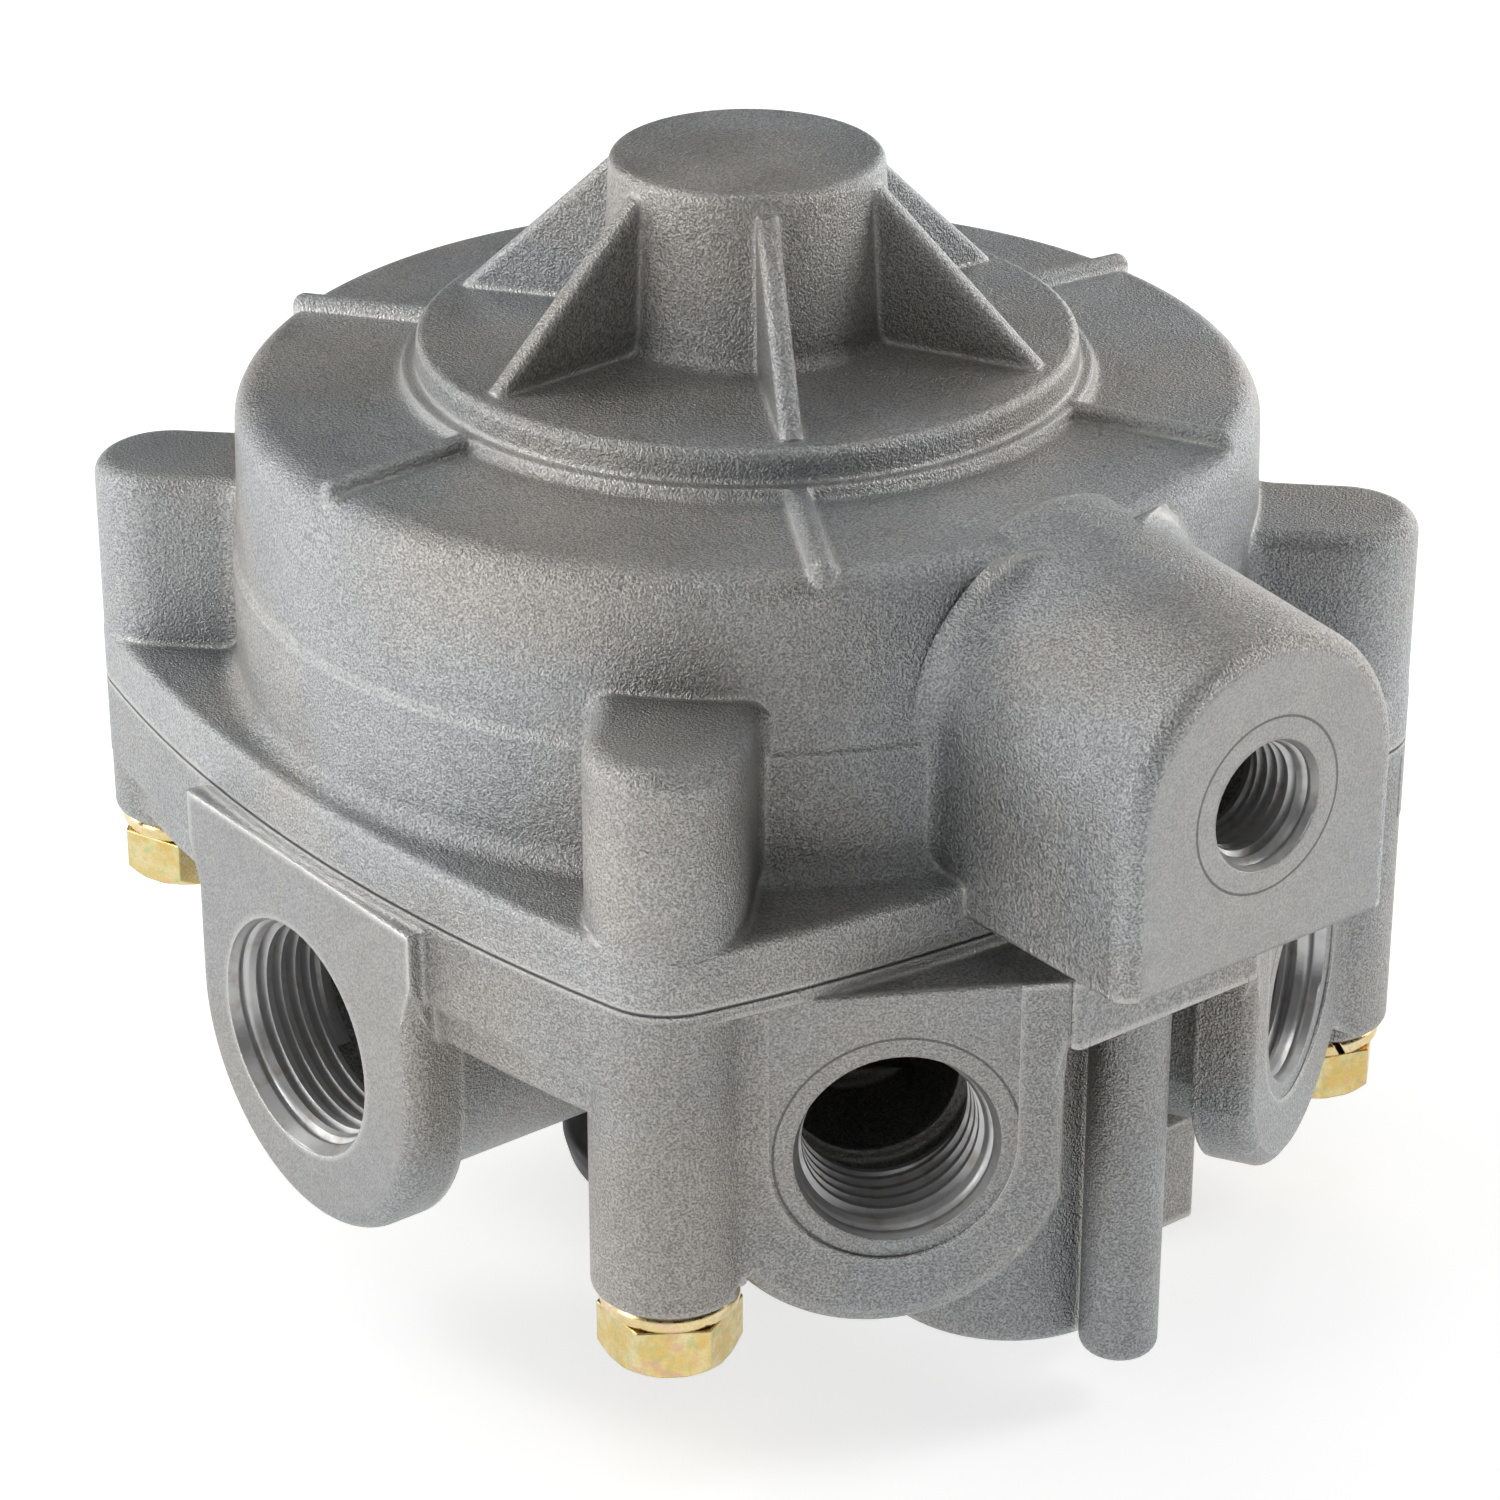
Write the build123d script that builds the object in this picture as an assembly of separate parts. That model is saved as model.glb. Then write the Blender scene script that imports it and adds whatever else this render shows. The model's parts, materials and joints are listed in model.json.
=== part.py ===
# Pneumatic relay valve: a die-cast cover over a piston, a body with four pipe ports, a combined
# inlet and exhaust valve on the axis, and an exhaust outlet with a rubber flap below.
#
# Frame: Z up along the valve axis, the control port towards +X, and z = 0 on the surface
# that the valve stands on. The functions below work from the parting plane between cover
# and body, and each part is lifted by PARTING_Z when it is written. All sizes are in mm.

from collections import namedtuple
from math import cos, radians, sin, sqrt, tan
import os

from build123d import *

# Driving sizes of the castings
BORE_R = 50.8              # piston bore in the cover
COVER_WALL = 4.6           # wall of the dome around it
SCREW_OUT = 8.95           # screw axes outside the dome wall
CORNER_R = 8.2             # flange corner about a screw axis
SIDE_BULGE = 5.3           # how far each side bulges beyond its corners
COVER_FLANGE = 6.5         # thickness of the cover flange
BODY_FLANGE = 14.5         # thickness of the body flange
BODY_RIM = 10.0            # height of its outer band
RIM_INSET = 1.3            # how far the lower band steps in
EDGE_ROUND = 0.9           # rounding of flange edges

DOME_R = BORE_R + COVER_WALL
BOLT_HALF = (DOME_R + SCREW_OUT) / sqrt(2)     # half the side of the square through the screws
SIDE_REACH = BOLT_HALF + CORNER_R + SIDE_BULGE

# Cover, from the flange up
DOME_STEP = 0.5            # small step in the dome wall
DOME_STEP_Z = 20.4
DOME_TOP_Z = 39.0          # dome at its outer edge
TOP_WALL = 4.5             # wall below the dome top and the disc
LEDGE_RISE = 1.7           # ledge at the foot of the disc
LEDGE_OUT = 1.6            # its width outside the disc
DISC_R = 35.4              # raised disc on the dome
DISC_RISE = 5.4
HUB_R = 14.6               # round boss in the middle
HUB_RISE = 19.3
RIBS = 6                   # gussets on the disc, and as many ribs on the dome
FIRST_RIB = 30.0           # azimuth of the first one
GUSSET_T = 2.4
GUSSET_SHORT = 2.2         # how far a gusset ends inside the disc
GUSSET_LOW = 2.0           # how far its top ends below the hub
RIB_R = 1.4                # half-round ribs over the edge of the dome
RIB_SLOPE = 2.7            # their fall towards the outside, in degrees
DOME_ROUND = 3.2           # rounding of the dome's outer edge

LEDGE_R = DISC_R + LEDGE_OUT
LEDGE_Z = DOME_TOP_Z + LEDGE_RISE
DISC_TOP_Z = DOME_TOP_Z + DISC_RISE
HUB_TOP_Z = DISC_TOP_Z + HUB_RISE
RIB_ANGLES = [FIRST_RIB + 360 / RIBS * i for i in range(RIBS)]

TONGUE_R = 8.1             # screw bosses of the cover
TONGUE_TOP_Z = 26.2
TONGUE_RUN = 15.0          # how far each runs in towards the dome
TONGUE_ROOT = 3.0          # fillet between boss and dome wall
TONGUE_ROUND = 2.2         # rounding of its top

# Control port boss on the cover
CONTROL_PROUD = 26.7       # face of the boss outside the dome wall
CONTROL_Z = 19.4
CONTROL_HALF = 17.8
CONTROL_RISE = 3.4         # rise of its round top from the face back to the dome
CONTROL_BACK = 6.4         # how far it runs in behind the dome wall
CONTROL_UNDER_Z = 3.0
CONTROL_RIM = 2.4          # rounding around the face
CONTROL_FILLET = 3.0       # fillet between boss and dome wall
CONTROL_LANE_R = 4.6       # passage into the cover

CONTROL_FACE = DOME_R + CONTROL_PROUD
CONTROL_ROOT = DOME_R - CONTROL_BACK

# Pipe threads: radius of the plain wall at their root, and its length
QUARTER_R, QUARTER_LENGTH = 6.60, 13.0
HALF_R, HALF_LENGTH = 10.35, 15.0
THREE_QUARTER_R, THREE_QUARTER_LENGTH = 13.00, 17.0
MOUTH_OPEN = 0.3           # how much wider each mouth is
MOUTH_DEPTH = 0.8

# Pipe ports on the body
PORT_TOP_Z = -1.5          # flat top of each port boss
PORT_PLATE = 6.5           # thickness of the plate behind the face
PORT_SHARP = 5.8           # length of the sharp corner left at the top of each side
PORT_FADE = 6.5            # length over which the rounding sets in below it
NECK_SHRINK = 3.6          # neck radius below the boss radius
SUPPLY_PROUD = 0.7         # face of a supply port outside the flange
SUPPLY_OFFSET = -1.7       # its thread off the valve axis
SUPPLY_Z = -23.2
SUPPLY_WALL = 8.1          # radius of its round foot beyond the thread
SUPPLY_SHIFT = (1.4, -0.3) # centre of the foot from the thread axis
SUPPLY_ROUND = 2.5         # rounding around its face
SUPPLY_LANE_R = 11.0       # passage behind its thread
SUPPLY_WINDOW_R = 8.0      # window into the valve bore
DELIVERY_AZIMUTH = 29.5    # either side of the control port
DELIVERY_PROUD = 7.4       # face of a delivery port outside the flange
DELIVERY_OFFSET = 5.5      # its sideways offset away from the control port's side
DELIVERY_Z = -19.4
DELIVERY_WALL = 8.95       # radius of its round foot beyond the thread
DELIVERY_SHIFT = (-1.2, -1.5)      # centre of the foot, towards the screw and down
DELIVERY_SIDE = 6.85       # straight side beyond the thread, towards the control port
DELIVERY_ROUND = 1.6       # rounding around its face
DELIVERY_LANE_R = 9.2      # passage behind its thread
SPOT_HALF = 12.7           # spot face milled around its mouth
SPOT_SHIFT = -0.4
SPOT_DEPTH = 0.3
WEB_FOOT_Z = -33.0         # web between the port plate and the screw boss beside it
WEB_FILLET = 4.0
WELL_R = 7.4               # where the passage turns up to the chamber below the piston
WELL_REACH = 37.5          # distance of that turn along the port's own direction

Port = namedtuple(
    "Port", "azimuth distance offset height wall_r length foot_x foot_y foot_r side_x round_r lane_r")
SUPPLY = Port(
    -90.0, SIDE_REACH + SUPPLY_PROUD, SUPPLY_OFFSET, SUPPLY_Z, THREE_QUARTER_R, THREE_QUARTER_LENGTH,
    *SUPPLY_SHIFT, THREE_QUARTER_R + SUPPLY_WALL, THREE_QUARTER_R + SUPPLY_WALL + SUPPLY_SHIFT[0],
    SUPPLY_ROUND, SUPPLY_LANE_R)
DELIVERY = Port(
    -DELIVERY_AZIMUTH, SIDE_REACH + DELIVERY_PROUD, DELIVERY_OFFSET, DELIVERY_Z, HALF_R, HALF_LENGTH,
    *DELIVERY_SHIFT, HALF_R + DELIVERY_WALL, HALF_R + DELIVERY_SIDE, DELIVERY_ROUND, DELIVERY_LANE_R)

# Screws
SCREW_R = 4.0
SCREW_SLACK = 0.05         # around the screw in its tapped hole
SCREW_PLAY = 0.5           # around the screw in the body
SCREW_IN_COVER = 18.0      # thread length inside the cover
SCREW_HOLE_REST = 2.0      # hole left beyond the screw's end
LONG_BOSS = 35.25          # length of the body's screw bosses on the +X side
SHORT_BOSS = 16.5          # length of those on the -X side
BOSS_STEP = 0.1            # their radius below the flange corner's
HEX_AF = 13.0
HEAD_H = 5.4
HEAD_CHAMFER = 0.9
LOCK_H = 2.3
LOCK_PLAY = 0.15           # lock washer around its screw
LOCK_WIDTH = 3.15
LOCK_GAP = 0.7             # split in the lock washer
HEAD_ROOM = 0.9            # room around each screw head beside the port bosses
# Turn of each screw head and of each split, in corner order
SCREW_TURNS = [-3.5, 12.0, 25.0, 19.0]
SPLIT_TURNS = [150.0, -20.0, 80.0, 200.0]

BOSS_R = CORNER_R - BOSS_STEP
LOCK_IN_R = SCREW_R + LOCK_PLAY
LOCK_OUT_R = LOCK_IN_R + LOCK_WIDTH
HEAD_ROOM_R = HEX_AF / sqrt(3) + HEAD_ROOM

# Combined inlet and exhaust valve, from the exhaust seat outward and down
EXHAUST_R = 6.4            # bore of the piston stem, which is the exhaust seat
STEM_WALL = 2.6
STEM_GAP = 1.0             # exhaust gap above the valve at rest
PISTON_TRAVEL = 3.0
INLET_GAP = 3.0            # air gap between the stem and the inlet seat
SEAT_PLATE_Z = -14.0       # underside of the plate that carries the inlet seat
SEAT_LIP = 1.5
SEAT_LIP_T = 1.3
DISC_OVER = 3.4            # rubber face beyond the inlet seat's bore
DISC_T = 3.6
TUBE_WALL = 2.0
TUBE_FLANGE_T = 2.4
COLLAR_T = 1.2             # pressed cup around the rubber face
VALVE_ROOM = 3.6           # air gap around the cup
VALVE_SPRING_LENGTH = 8.3
VALVE_SPRING_WIRE_R = 0.8
GUIDE_T = 7.5              # flange of the insert that guides the stem
GUIDE_CLEAR = 0.05         # around the insert, and around the stem in it
GUIDE_GROOVE = 1.5         # depth of its two seal grooves
GUIDE_GROOVE_H = 1.9
NOZZLE_LENGTH = 13.5
NOZZLE_WALL = 3.2
TUBE_IN_NOZZLE = 2.8       # air gap around the stem in the nozzle
SPIDER_T = 4.0
SPIDER_ARM = 2.2
SPIDER_HUB_R = 3.6
TUBE_REST = 1.0            # gap left above the spider when the valve is open

STEM_R = EXHAUST_R + STEM_WALL
SEAT_HOLE_R = STEM_R + INLET_GAP
DISC_OUT_R = SEAT_HOLE_R + DISC_OVER
DISC_IN_R = EXHAUST_R + 0.2
DISC_REST_Z = SEAT_PLATE_Z - SEAT_LIP
TUBE_TOP_Z = DISC_REST_Z - DISC_T
TUBE_IN_R = EXHAUST_R - 0.4
TUBE_R = TUBE_IN_R + TUBE_WALL
TUBE_FLANGE_R = DISC_OUT_R - 1.9
CUP_FOOT_Z = TUBE_TOP_Z - TUBE_FLANGE_T - COLLAR_T
GUIDE_TOP_Z = CUP_FOOT_Z - VALVE_SPRING_LENGTH
GUIDE_FOOT_Z = GUIDE_TOP_Z - GUIDE_T
GROOVE_MID_Z = GUIDE_TOP_Z - GUIDE_T / 2
GUIDE_BORE_R = DISC_OUT_R + COLLAR_T + VALVE_ROOM
NOZZLE_IN_R = TUBE_R + TUBE_IN_NOZZLE
NOZZLE_R = NOZZLE_IN_R + NOZZLE_WALL
NOZZLE_FOOT_Z = GUIDE_FOOT_Z - NOZZLE_LENGTH
VALVE_TRAVEL = PISTON_TRAVEL - STEM_GAP
TUBE_FOOT_Z = NOZZLE_FOOT_Z + SPIDER_T + VALVE_TRAVEL + TUBE_REST

# Retaining ring, flap and shield
RETAINER_T = 1.2
RETAINER_BITE = 1.4        # how far the ring stands in its groove
RETAINER_WIDTH = 4.0
RETAINER_GAP = 7.0
FLAP_T = 1.6
FLAP_OVER = 1.8            # flap beyond the nozzle's bore
FLAP_SCREW_R = 1.6
FLAP_WASHER_R = 5.0
FLAP_WASHER_T = 0.8
FLAP_HEAD_R, FLAP_HEAD_H = 3.0, 1.7
FOOT_ROOM = 0.9            # room between that screw's head and the resting surface
SHIELD_T = 3.0             # rubber shield around the nozzle
SHIELD_FLARE = 4.7         # its foot ring beyond that
SHIELD_TAPER = 1.0         # how much narrower the ring is where it rests
SHIELD_FOOT_T = 3.0
SHIELD_GAP = 2.2           # gap between the shield and the column

RETAINER_Z = GUIDE_FOOT_Z - RETAINER_T
RETAINER_OUT_R = GUIDE_BORE_R + RETAINER_BITE
RETAINER_IN_R = RETAINER_OUT_R - RETAINER_WIDTH
FLAP_WASHER_Z = NOZZLE_FOOT_Z - FLAP_T - FLAP_WASHER_T
PARTING_Z = FLAP_HEAD_H + FOOT_ROOM - FLAP_WASHER_Z     # parting plane above the resting surface
SHIELD_R = NOZZLE_R + SHIELD_T + SHIELD_FLARE

# Piston and its seals
STOP_Z = 14.0              # shoulder that the piston rests against
STOP_WIDTH = 1.8
PISTON_CLEAR = 0.06
RIM_H = 9.0
RIM_T = 6.0
WEB_T = 4.0
PISTON_HUB_T = 3.0
PISTON_GROOVE, PISTON_GROOVE_H = 2.9, 3.2
RETURN_SPRING_R = 24.0
RETURN_SPRING_WIRE_R = 1.1
SPRING_TURNS = 3
SEAL_OFF = 1.2             # sealing ring groove outside the piston bore
SEAL_WIDTH = 2.2
SEAL_GROOVE = 1.6
SEAL_SLACK = 0.15          # around the ring in its groove

STOP_R = BORE_R - STOP_WIDTH
PISTON_R = BORE_R - PISTON_CLEAR
PISTON_FOOT_Z = STOP_Z - RIM_H
RING_MID_Z = STOP_Z - RIM_H / 2
SEAL_IN_R = BORE_R + SEAL_OFF
SEAL_OUT_R = SEAL_IN_R + SEAL_WIDTH

# Lower body
CORE_WALL = 6.8            # column around the valve bore
CORE_LIP = 1.3             # column below the retaining ring
CHAMBER_STEP = 4.8         # chamber below the piston, inside the piston bore
CHAMBER_Z = -9.0
LOBE_R = 15.0              # closed round lobe between the delivery ports
LOBE_OUT = 3.5             # gap between lobe and column, bridged by a web
KEEL_R = 4.2               # slim keel in front of it
KEEL_OUT = 18.5            # keel axis from the lobe axis
SHELF_REACH = 10.8         # small shelf under the control port, beyond the flange
SHELF_HALF = 12.6
SHELF_FOOT_Z = -9.2
PAD_BACK, PAD_FRONT = 9.5, 4.2     # cast pad beside the lobe, behind and before its axis
PAD_NEAR, PAD_FAR = 6.0, 24.5      # its two sides, from the middle plane
PAD_H = 13.0
BOSS_ROUND = 0.8           # roundings of the body's bosses
LOBE_ROUND = 1.5
SHELF_ROUND = 1.0
CORE_ROUND = 2.0

CORE_R = GUIDE_BORE_R + CORE_WALL
CORE_FOOT_Z = RETAINER_Z - CORE_LIP
CHAMBER_R = BORE_R - CHAMBER_STEP
LOBE_X = CORE_R + LOBE_R + LOBE_OUT
LOBE_FOOT_Z = NOZZLE_FOOT_Z
KEEL_X = LOBE_X + KEEL_OUT


def corners():
    """Screw positions with the foot height of the body boss at each."""
    c = BOLT_HALF
    return [("front", c, -c, -LONG_BOSS), ("right", c, c, -LONG_BOSS),
            ("back", -c, c, -SHORT_BOSS), ("left", -c, -c, -SHORT_BOSS)]


def flange_face(inset=0.0):
    """Square outline with round corners and bulged sides, each side tangent to the corners."""
    c, r, reach = BOLT_HALF, CORNER_R - inset, CORNER_R + SIDE_BULGE - inset
    side_r = (c * c + reach * reach - r * r) / (2 * (reach - r))
    s = c / (side_r - r)
    near, far = c + r * s, c + r * sqrt(1 - s * s)
    tip, middle = c + r / sqrt(2), c + reach
    arcs = []
    for k in range(4):
        turn = Rot(0, 0, 90 * k)
        arcs.append(turn * ThreePointArc((far, -near), (middle, 0), (far, near)))
        arcs.append(turn * ThreePointArc((far, near), (tip, tip), (near, far)))
    return make_face(arcs)


def block(face, z0, z1):
    """Extrude a flat face from height z0 to height z1."""
    return Pos(0, 0, z0) * extrude(face, z1 - z0)


def turned(points, soft=()):
    """Solid of revolution about Z from (radius, height) points; soft lists (point, radius)."""
    face = make_face(Polyline(*points, close=True))
    for (x, y), radius in soft:
        near = min(face.vertices(), key=lambda v: (v.X - x) ** 2 + (v.Y - y) ** 2)
        face = fillet(near, radius)
    return revolve(Plane.XZ * face, Axis.Z)


def post(x, y, radius, z0, z1):
    """Upright cylinder between two heights."""
    return Pos(x, y, z0) * Cylinder(radius, z1 - z0, align=(Align.CENTER, Align.CENTER, Align.MIN))


def ring(r_out, r_in, z0, z1):
    """Upright ring between two heights."""
    return post(0, 0, r_out, z0, z1) - post(0, 0, r_in, z0 - 1, z1 + 1)


def round_foot(solid, radius):
    """Round the edges of a solid's lowest face."""
    return fillet(solid.faces().sort_by(Axis.Z)[0].edges(), radius)


def port_frame(azimuth, distance, offset, height):
    """Plane on a port face: x along the face, y up, z out of the mouth."""
    a = radians(azimuth)
    out, side = Vector(cos(a), sin(a), 0), Vector(-sin(a), cos(a), 0)
    origin = out * distance + side * offset + Vector(0, 0, height)
    return Plane(origin=origin, x_dir=side, z_dir=out)


def drill(frame, radius, depth):
    """Round hole into a port face."""
    return frame * Pos(0, 0, -depth / 2) * Cylinder(radius, depth)


def pipe_bore(frame, wall_r, length, sunk=0.0):
    """Cutter for a pipe thread: plain wall with a wider mouth, sunk below the face."""
    mouth = frame * Pos(0, 0, -sunk - MOUTH_DEPTH / 2) * Cone(wall_r, wall_r + MOUTH_OPEN, MOUTH_DEPTH)
    clear = frame * Pos(0, 0, 1 - sunk) * Cylinder(wall_r + MOUTH_OPEN, 2)
    return drill(frame, wall_r, sunk + length) + mouth + clear


def dome():
    """Turned shape of the cover: wall, top, stepped disc and hub."""
    skirt, draft, foot_r = DOME_R + DOME_STEP, 0.5, 2.3
    toe = skirt + foot_r + 0.1
    edge = (DOME_R - draft, DOME_TOP_Z - 0.3)
    ledge = (LEDGE_R + 0.4, DOME_TOP_Z + 0.5)
    brim = (DISC_R, DISC_TOP_Z - 0.2)
    root = (HUB_R + 1.0, DISC_TOP_Z + 0.6)
    return turned(
        [(0, 0), (toe, 0), (toe, COVER_FLANGE), (skirt, COVER_FLANGE), (skirt, DOME_STEP_Z - 0.4),
         (DOME_R, DOME_STEP_Z + 0.3), edge, ledge, (LEDGE_R, LEDGE_Z), (DISC_R + 0.2, LEDGE_Z + 0.1),
         brim, root, (HUB_R, HUB_TOP_Z), (0, HUB_TOP_Z)],
        [((skirt, COVER_FLANGE), foot_r), (edge, DOME_ROUND), (ledge, 0.7), (brim, 0.9), (root, 1.6),
         ((HUB_R, HUB_TOP_Z), 1.0)])


def cover_cavity():
    """Piston bore, stop shoulder and the space above the piston."""
    shoulder = (STOP_R, DOME_TOP_Z - TOP_WALL)
    wide, narrow = DISC_R - TOP_WALL, DISC_R - 1.65 * TOP_WALL
    roof = DISC_TOP_Z - TOP_WALL
    return turned(
        [(0, -1), (BORE_R, -1), (BORE_R, STOP_Z), (STOP_R, STOP_Z), shoulder, (wide, shoulder[1]),
         (narrow, roof), (0, roof)], [(shoulder, 3.0)])


def gusset(azimuth):
    """Triangular web from near the top of the hub down to the rim of the disc."""
    inside, buried, top = HUB_R - 3, DISC_TOP_Z - 1, HUB_TOP_Z - GUSSET_LOW
    outline = make_face(Polyline(
        (inside, buried), (DISC_R - GUSSET_SHORT - 0.4, buried), (DISC_R - GUSSET_SHORT, DISC_TOP_Z + 0.2),
        (HUB_R + 0.6, top), (inside, top), close=True))
    web = extrude(Plane.XZ * outline, GUSSET_T / 2, both=True)
    long_edges = [e for e in web.edges() if abs(e.tangent_at(0.5).Y) < 0.1 and e.center().X > HUB_R
                  and e.center().Z > DISC_TOP_Z + 2]
    return Rot(0, 0, azimuth) * fillet(long_edges, 0.37 * GUSSET_T)


def rib(azimuth):
    """Half-round rib lying on the dome top, from the ledge out to its round end."""
    start, end = LEDGE_R - 0.6, DOME_R - 1.7 * RIB_R
    height = DOME_TOP_Z + 0.6
    low = height - (end - start) * tan(radians(RIB_SLOPE))
    bar = Pos(start, 0, height) * Rot(0, 90 + RIB_SLOPE, 0) * Cylinder(
        RIB_R, (end - start) / cos(radians(RIB_SLOPE)), align=(Align.CENTER, Align.CENTER, Align.MIN))
    tip = Pos(end, 0, low) * Sphere(RIB_R) + post(end, 0, RIB_R, low - 2 * RIB_R, low)
    return Rot(0, 0, azimuth) * (bar + tip)


def tongues():
    """The four screw bosses, each run into the dome wall with a filleted root."""
    hidden = DOME_R - 0.3
    plan = Circle(hidden)
    for name, x, y, foot in corners():
        k = 1 - TONGUE_RUN / sqrt(x * x + y * y)
        ends = Pos(x, y) * Circle(TONGUE_R) + Pos(x * k, y * k) * Circle(TONGUE_R)
        plan += make_hull(ends.edges())
    roots = [v for v in plan.vertices() if sqrt(v.X ** 2 + v.Y ** 2) < DOME_R]
    plan = fillet(roots, TONGUE_ROOT)
    solid = block(plan, 0, TONGUE_TOP_Z)
    return fillet(solid.faces().sort_by(Axis.Z)[-1].edges(), TONGUE_ROUND)


def control_section(x, rise):
    """Section of the control boss: round above, straight sides below, level underside."""
    centre = CONTROL_Z + rise
    drop = centre - CONTROL_UNDER_Z
    foot = Pos(0, -drop / 2) * Rectangle(2 * CONTROL_HALF, drop)
    keep = Pos(0, (CONTROL_HALF - drop) / 2) * Rectangle(3 * CONTROL_HALF, CONTROL_HALF + drop)
    plane = Plane(origin=(x, 0, centre), x_dir=(0, 1, 0), z_dir=(1, 0, 0))
    return (plane * ((Circle(CONTROL_HALF) + foot) & keep)).faces()[0]


def control_boss():
    """Round-topped boss of the control port, its top falling slightly towards the face."""
    solid = loft([control_section(CONTROL_ROOT, CONTROL_RISE), control_section(CONTROL_FACE, 0)])
    low = CONTROL_UNDER_Z + 1
    rim = [e for e in solid.edges() if e.center().X > CONTROL_FACE - 1 and e.center().Z > low]
    solid = fillet(rim, CONTROL_RIM)
    wall = post(0, 0, DOME_R, -BODY_FLANGE, HUB_TOP_Z)
    root = [e for e in (wall + solid).edges() if low < e.center().Z < HUB_TOP_Z - 1
            and abs(sqrt(e.center().X ** 2 + e.center().Y ** 2) - DOME_R) < 3 and e.center().X > DOME_R / 2]
    flared = fillet(root, CONTROL_FILLET) - wall
    ceiling = block(Rectangle(4 * DOME_R, 4 * DOME_R), 0, DOME_TOP_Z)
    return solid + (flared & ceiling)


def cover():
    """Die-cast cover."""
    plate = block(flange_face(), 0, COVER_FLANGE)
    plate = fillet(plate.faces().sort_by(Axis.Z)[-1].edges(), EDGE_ROUND)
    shape = plate + dome() + tongues() + control_boss()
    shape -= cover_cavity()
    for azimuth in RIB_ANGLES:
        shape += gusset(azimuth)
        shape += rib(azimuth)
    face = port_frame(0, CONTROL_FACE, 0, CONTROL_Z)
    shape -= pipe_bore(face, QUARTER_R, QUARTER_LENGTH)
    shape -= drill(face, CONTROL_LANE_R, CONTROL_FACE - STOP_R + 3)
    for name, x, y, foot in corners():
        shape -= post(x, y, SCREW_R, -1, SCREW_IN_COVER + SCREW_HOLE_REST)
    return shape


def pair(solid):
    """A solid at the front and its mirror image behind the valve's middle plane."""
    return [solid, mirror(solid, about=Plane.XZ)]


def port_outline(port, inset=0.0):
    """Outline of a port boss in its own plane: round foot, straight sides and flat top."""
    top, radius = PORT_TOP_Z - port.height, port.foot_r - inset
    tall = top - port.foot_y
    sides = Pos(port.foot_x, port.foot_y + tall / 2) * Rectangle(2 * radius, tall)
    shape = Pos(port.foot_x, port.foot_y) * Circle(radius) + sides
    limit = Pos(port.side_x - inset - 2 * radius, top - 2 * radius) * Rectangle(4 * radius, 4 * radius)
    return shape & limit


def port_boss(port):
    """Plate with a rounded edge at a port face, sharp at its top corners, and the neck behind it."""
    top, radius, far = PORT_TOP_Z - port.height, port.round_r, 4 * port.foot_r
    sharp = extrude(port_outline(port), -PORT_PLATE)
    low = [e for e in sharp.faces().sort_by(Axis.Z)[-1].edges() if e.center().Y < top - 1]
    plate, horns = fillet(low, radius), sharp
    for side, sign in ((port.side_x, 1), (port.foot_x - port.foot_r, -1)):
        slant = Plane(origin=(side, top - PORT_SHARP, 0), z_dir=(sign * PORT_FADE, -radius, PORT_FADE))
        horns &= slant * Box(far, far, far, align=(Align.CENTER, Align.CENTER, Align.MAX))
    neck = Pos(0, 0, -1) * extrude(port_outline(port, NECK_SHRINK), CORE_R / 2 + 1 - port.distance)
    return port_frame(*port[:4]) * (plate + horns + neck)


def beside_screw():
    """The front screw axis as seen in the delivery port's plane: sideways and in front of it."""
    frame = port_frame(*DELIVERY[:4])
    away = Vector(BOLT_HALF, -BOLT_HALF, DELIVERY.height) - frame.origin
    return away.dot(frame.x_dir), away.dot(frame.z_dir)


def port_web():
    """Web that fills the valley between the delivery port's plate and the screw boss beside it."""
    frame = port_frame(*DELIVERY[:4])
    side, front = beside_screw()
    plan = Pos(side, front) * Circle(BOSS_R) + Pos(side / 2, -PORT_PLATE / 2) * Rectangle(-side, PORT_PLATE)
    valley = [v for v in plan.vertices() if abs(v.Y) < 0.01 and side < v.X < side / 2]
    plan = fillet(valley, WEB_FILLET)
    level = Plane(origin=(frame.origin.X, frame.origin.Y, WEB_FOOT_Z), x_dir=frame.x_dir, z_dir=(0, 0, -1))
    return extrude(level * plan, WEB_FOOT_Z - PORT_TOP_Z)


def port_room():
    """Room in front of the delivery port's face, below the rim of the body."""
    side, front = beside_screw()
    low, top = -BODY_FLANGE - 1 - DELIVERY.height, PORT_TOP_Z - DELIVERY.height
    return port_frame(*DELIVERY[:4]) * Pos(side, (low + top) / 2, 0) * Box(
        3 * CORNER_R, top - low, 2 * CORNER_R, align=(Align.MIN, Align.CENTER, Align.MIN))


def supply_cut():
    """Threaded bore of a supply port, opened through to the valve bore."""
    frame = port_frame(*SUPPLY[:4])
    shape = pipe_bore(frame, SUPPLY.wall_r, SUPPLY.length)
    shape += drill(frame, SUPPLY.lane_r, SUPPLY.distance - CORE_R - 2)
    return shape + drill(frame, SUPPLY_WINDOW_R, SUPPLY.distance - GUIDE_BORE_R / 2)


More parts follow.
